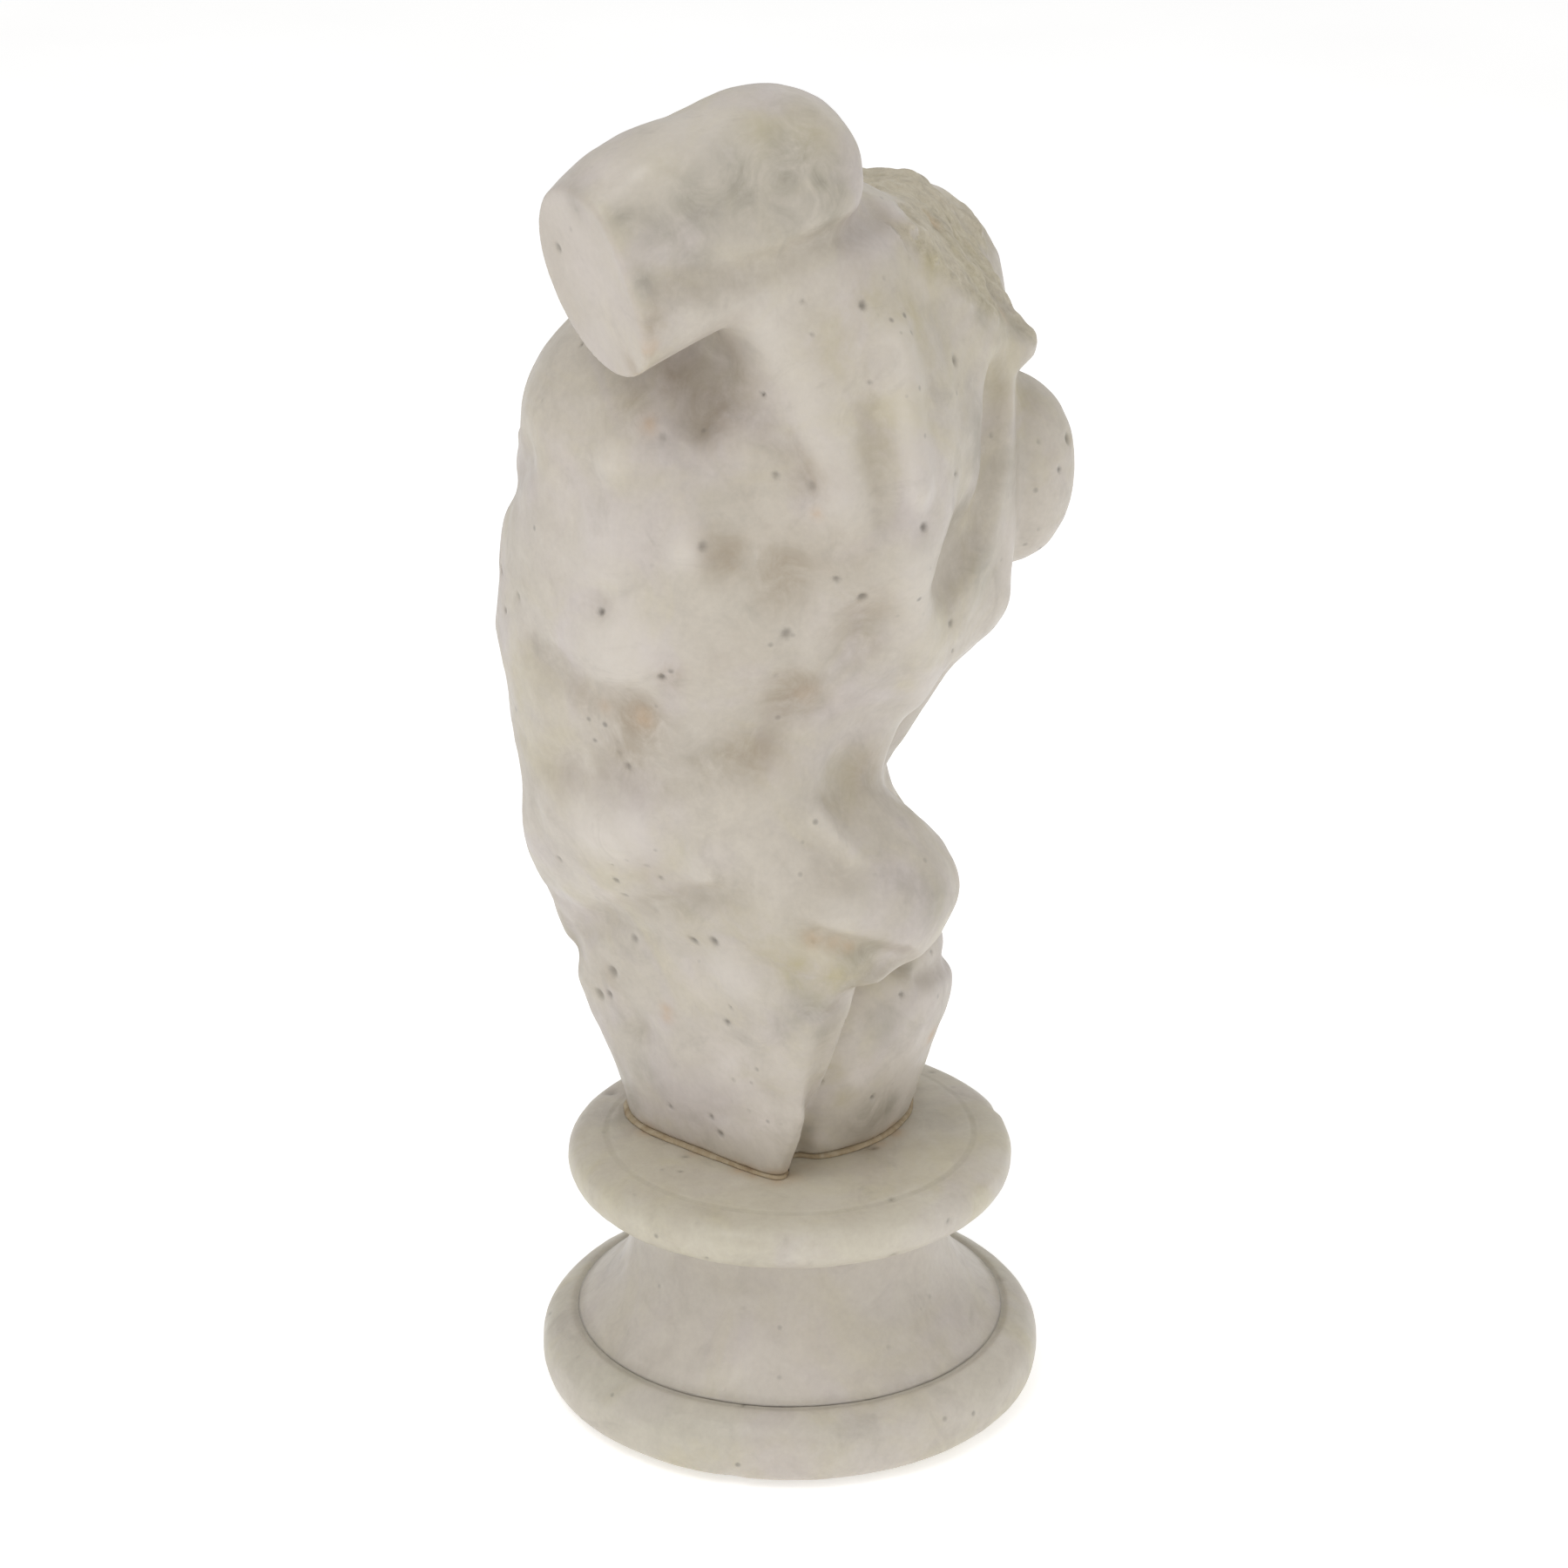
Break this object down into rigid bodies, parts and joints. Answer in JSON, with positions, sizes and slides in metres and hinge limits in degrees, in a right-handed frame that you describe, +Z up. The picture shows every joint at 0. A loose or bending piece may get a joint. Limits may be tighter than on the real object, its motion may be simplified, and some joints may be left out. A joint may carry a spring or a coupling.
{
  "type": "marble torso statuette on a turned socle",
  "caption": "Headless, armless carved marble torso standing on a round turned socle with two torus mouldings and a hollow waist, tied together by a hidden rod.",
  "frame": {"origin": "centre of the round underside, on the surface it stands on", "axes": "+Z up; the figure faces -Y, its left side is +X and its back is +Y"},
  "size_m": [0.14, 0.105, 0.2675],
  "materials": {
    "torso_marble": "satin, worn",
    "cap_marble": "satin, worn",
    "waist_marble": "satin, worn",
    "foot_marble": "satin, worn",
    "mortar": "matte",
    "steel": "zinc plated",
    "fibre": "matte",
    "felt": "matte felt"
  },
  "bodies": {
    "root": {"torso": "torso_marble", "torso_bed": "mortar", "socle_cap": "cap_marble", "socle_waist": "waist_marble", "socle_foot": "foot_marble", "threaded_stud": "steel", "stud_grout": "mortar", "locating_pin": "steel", "fibre_washer": "fibre", "plain_washer": "steel", "hex_nut": "steel", "felt_pad": "felt"}
  },
  "joints": []
}
